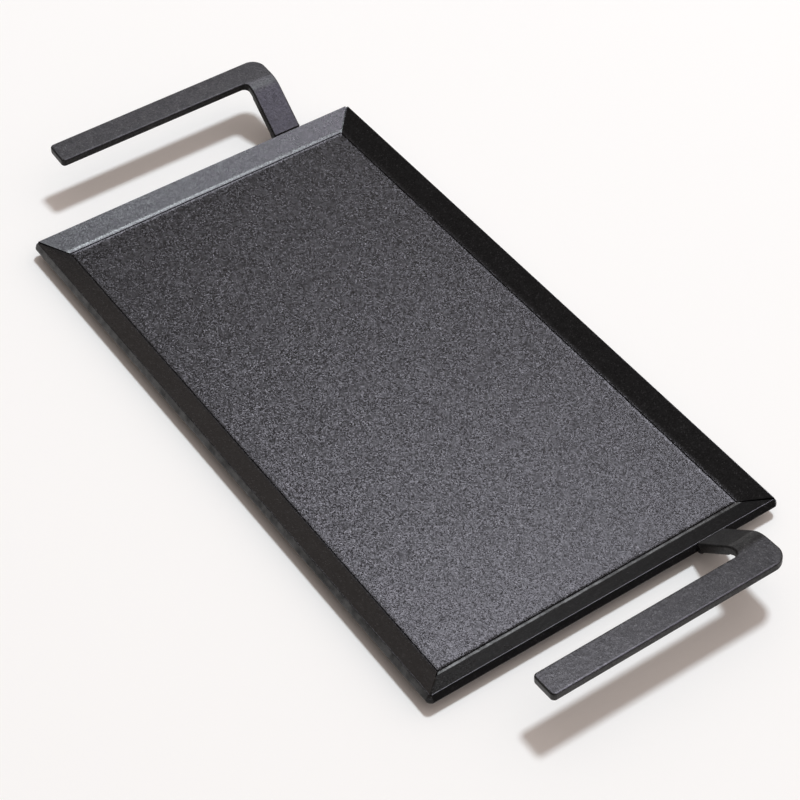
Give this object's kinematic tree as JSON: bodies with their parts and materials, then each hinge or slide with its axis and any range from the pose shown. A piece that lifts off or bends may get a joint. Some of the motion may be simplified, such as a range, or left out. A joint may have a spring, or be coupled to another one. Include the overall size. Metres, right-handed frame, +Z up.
{
  "type": "camp griddle plate",
  "caption": "Shallow rectangular steel griddle plate with sloping folded walls, mitred corners and a raised L-shaped strip handle at each end, for cooking over a camp stove or fire.",
  "frame": {"origin": "middle of the flat underside, on the surface that the griddle stands on", "axes": "+X along the pan towards the front handle, +Y across it towards the side where both handles have their legs, +Z up out of the pan"},
  "size_m": [0.3916, 0.1748, 0.0275],
  "materials": {
    "griddle_steel": "baked black coat with a fine sparkling grain, satin",
    "handle_steel": "baked black coat, finer mottled satin",
    "weld_steel": "dressed weld under the baked black coat"
  },
  "bodies": {
    "root": {"pan": "griddle_steel", "front_handle": "handle_steel", "rear_handle": "handle_steel", "front_left_corner_weld": "weld_steel", "front_right_corner_weld": "weld_steel", "rear_left_corner_weld": "weld_steel", "rear_right_corner_weld": "weld_steel", "front_handle_weld": "weld_steel", "rear_handle_weld": "weld_steel"}
  },
  "joints": []
}
